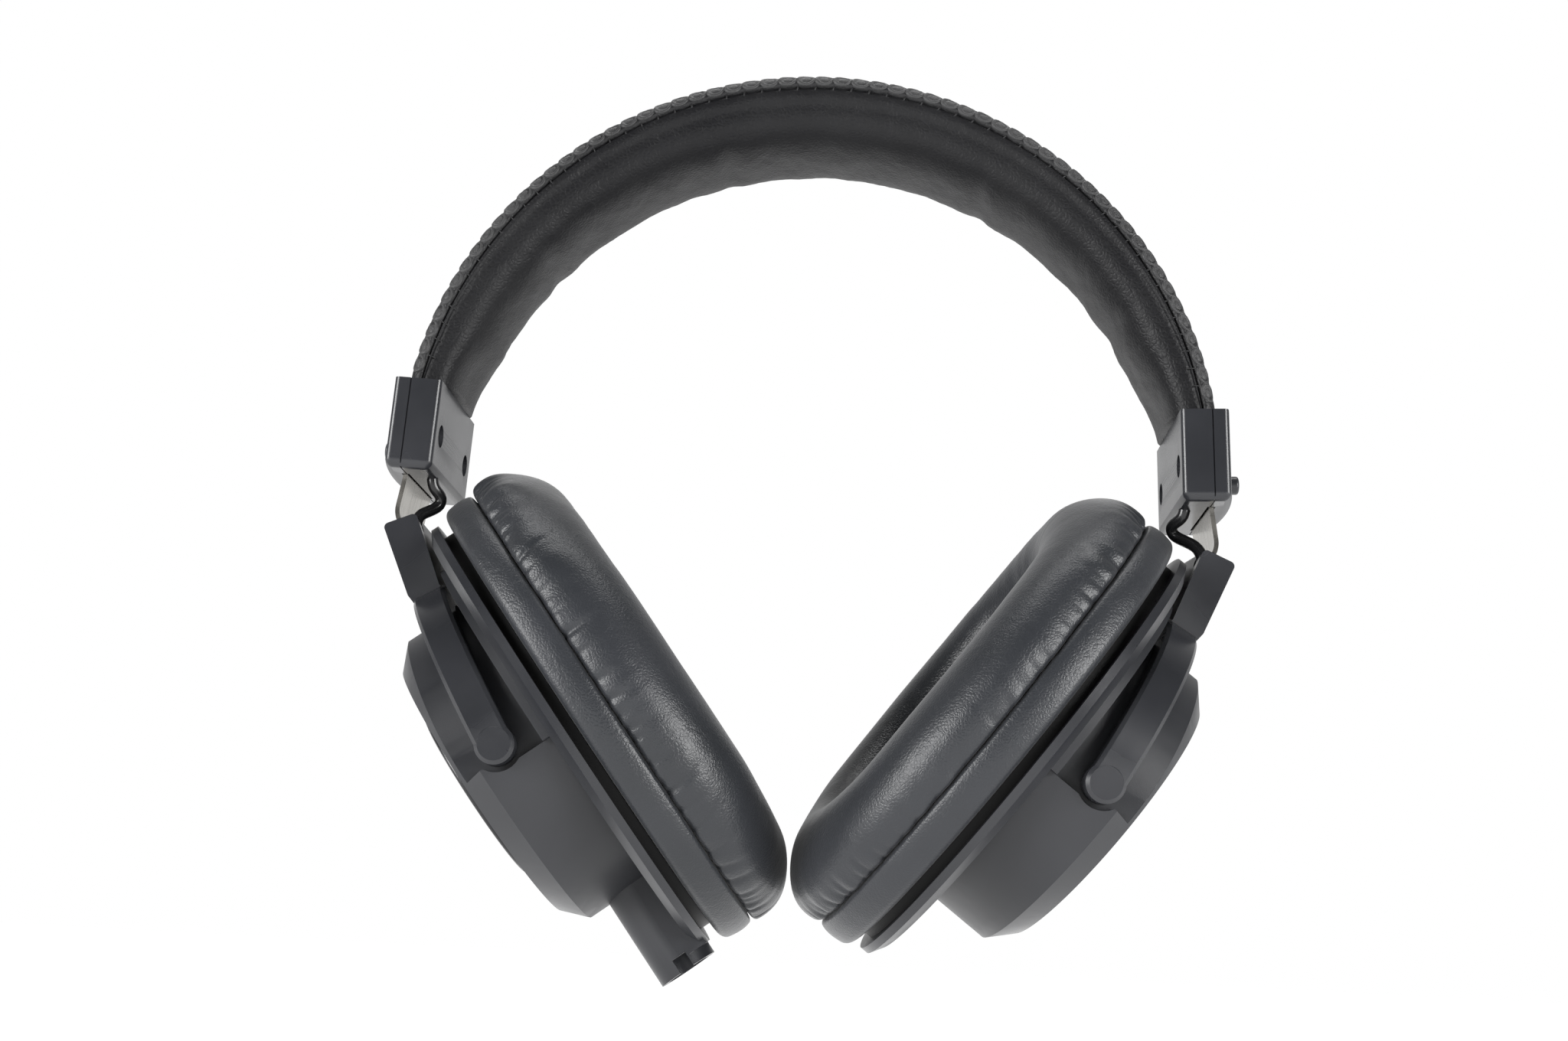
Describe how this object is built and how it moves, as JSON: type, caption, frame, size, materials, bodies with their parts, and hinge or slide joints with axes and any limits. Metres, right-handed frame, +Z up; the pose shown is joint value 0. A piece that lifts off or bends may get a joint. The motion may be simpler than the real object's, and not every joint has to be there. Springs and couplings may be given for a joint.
{
  "type": "over ear headphones",
  "caption": "Black over ear headphones with a padded headband, steel sliders, ring yokes and oval ear cups with round pads.",
  "frame": {"origin": "underside of the headband pad, at the top of the arc and the middle of its depth", "axes": "+Z up, X across from ear to ear with the cable socket on the -X cup, Y through the depth"},
  "size_m": [0.177, 0.0887, 0.1875],
  "materials": {
    "frame_plastic": "satin",
    "cup_plastic": "matte",
    "plate_plastic": "satin",
    "inner_plastic": "matte",
    "band_leatherette": "satin",
    "pad_leatherette": "satin",
    "bright_steel": "polished",
    "screw_steel": "satin",
    "dark_steel": "satin",
    "magnet": "satin",
    "copper": "satin",
    "film": "glossy",
    "cloth": "matte",
    "circuit_board": "satin",
    "felt": "matte",
    "foam": "matte",
    "lead_jacket": "glossy"
  },
  "bodies": {
    "headband": {"headband_cover": "band_leatherette", "headband_spring": "bright_steel", "headband_foam": "foam", "headband_pad_skin": "pad_leatherette", "headband_lead": "lead_jacket", "left_block_outer_shell": "frame_plastic", "left_block_inner_shell": "frame_plastic", "left_block_rivet": "frame_plastic", "left_block_screws": "screw_steel", "left_detent_spring": "bright_steel", "right_block_outer_shell": "frame_plastic", "right_block_inner_shell": "frame_plastic", "right_block_rivet": "frame_plastic", "right_block_screws": "screw_steel", "right_detent_spring": "bright_steel"},
    "left_slider": {"left_slider_strip": "bright_steel", "left_swivel_stud": "screw_steel", "left_lead": "lead_jacket"},
    "left_yoke": {"left_yoke": "frame_plastic", "left_pivot_pins": "screw_steel"},
    "left_cup": {"left_housing": "cup_plastic", "left_cover_plate": "plate_plastic", "left_baffle": "inner_plastic", "left_baffle_screws": "screw_steel", "left_driver_frame": "inner_plastic", "left_magnet_pot": "screw_steel", "left_magnet": "magnet", "left_pole_plate": "screw_steel", "left_voice_coil": "copper", "left_diaphragm": "film", "left_driver_grille": "dark_steel", "left_dust_cloth": "cloth", "left_terminal_board": "circuit_board", "left_damping_felt": "felt", "left_ear_pad_cover": "pad_leatherette", "left_ear_pad_foam": "foam", "left_cable_socket": "inner_plastic", "left_socket_contact": "copper"},
    "right_slider": {"right_slider_strip": "bright_steel", "right_swivel_stud": "screw_steel", "right_lead": "lead_jacket"},
    "right_yoke": {"right_yoke": "frame_plastic", "right_pivot_pins": "screw_steel"},
    "right_cup": {"right_housing": "cup_plastic", "right_cover_plate": "plate_plastic", "right_baffle": "inner_plastic", "right_baffle_screws": "screw_steel", "right_driver_frame": "inner_plastic", "right_magnet_pot": "screw_steel", "right_magnet": "magnet", "right_pole_plate": "screw_steel", "right_voice_coil": "copper", "right_diaphragm": "film", "right_driver_grille": "dark_steel", "right_dust_cloth": "cloth", "right_terminal_board": "circuit_board", "right_damping_felt": "felt", "right_ear_pad_cover": "pad_leatherette", "right_ear_pad_foam": "foam"}
  },
  "joints": [
    {"name": "left_slide", "type": "slide", "parent": "headband", "child": "left_slider", "axis": [-0.1564, 0, -0.9877], "range_m": [0, 0.02], "deforming": ["left_lead"]},
    {"name": "left_swivel", "type": "hinge", "parent": "left_slider", "child": "left_yoke", "pos_m": [-0.08182, 0, -0.08177], "axis": [-0.3907, 0, 0.9205], "range_deg": [-11.5, 8.5], "deforming": ["left_lead"]},
    {"name": "left_tilt", "type": "hinge", "parent": "left_yoke", "child": "left_cup", "pos_m": [-0.05513, 0.00016, -0.12898], "axis": [-0.0241, 0.9997, -0.0102], "range_deg": [0, 32]},
    {"name": "right_slide", "type": "slide", "parent": "headband", "child": "right_slider", "axis": [0.1564, 0, -0.9877], "range_m": [0, 0.02], "deforming": ["right_lead"]},
    {"name": "right_swivel", "type": "hinge", "parent": "right_slider", "child": "right_yoke", "pos_m": [0.08182, 0, -0.08177], "axis": [0.3907, 0, 0.9205], "range_deg": [-15.5, 4.5], "deforming": ["right_lead"]},
    {"name": "right_tilt", "type": "hinge", "parent": "right_yoke", "child": "right_cup", "pos_m": [0.05516, -0.00059, -0.12899], "axis": [0.0882, -0.9954, -0.0375], "range_deg": [0, 32]}
  ]
}
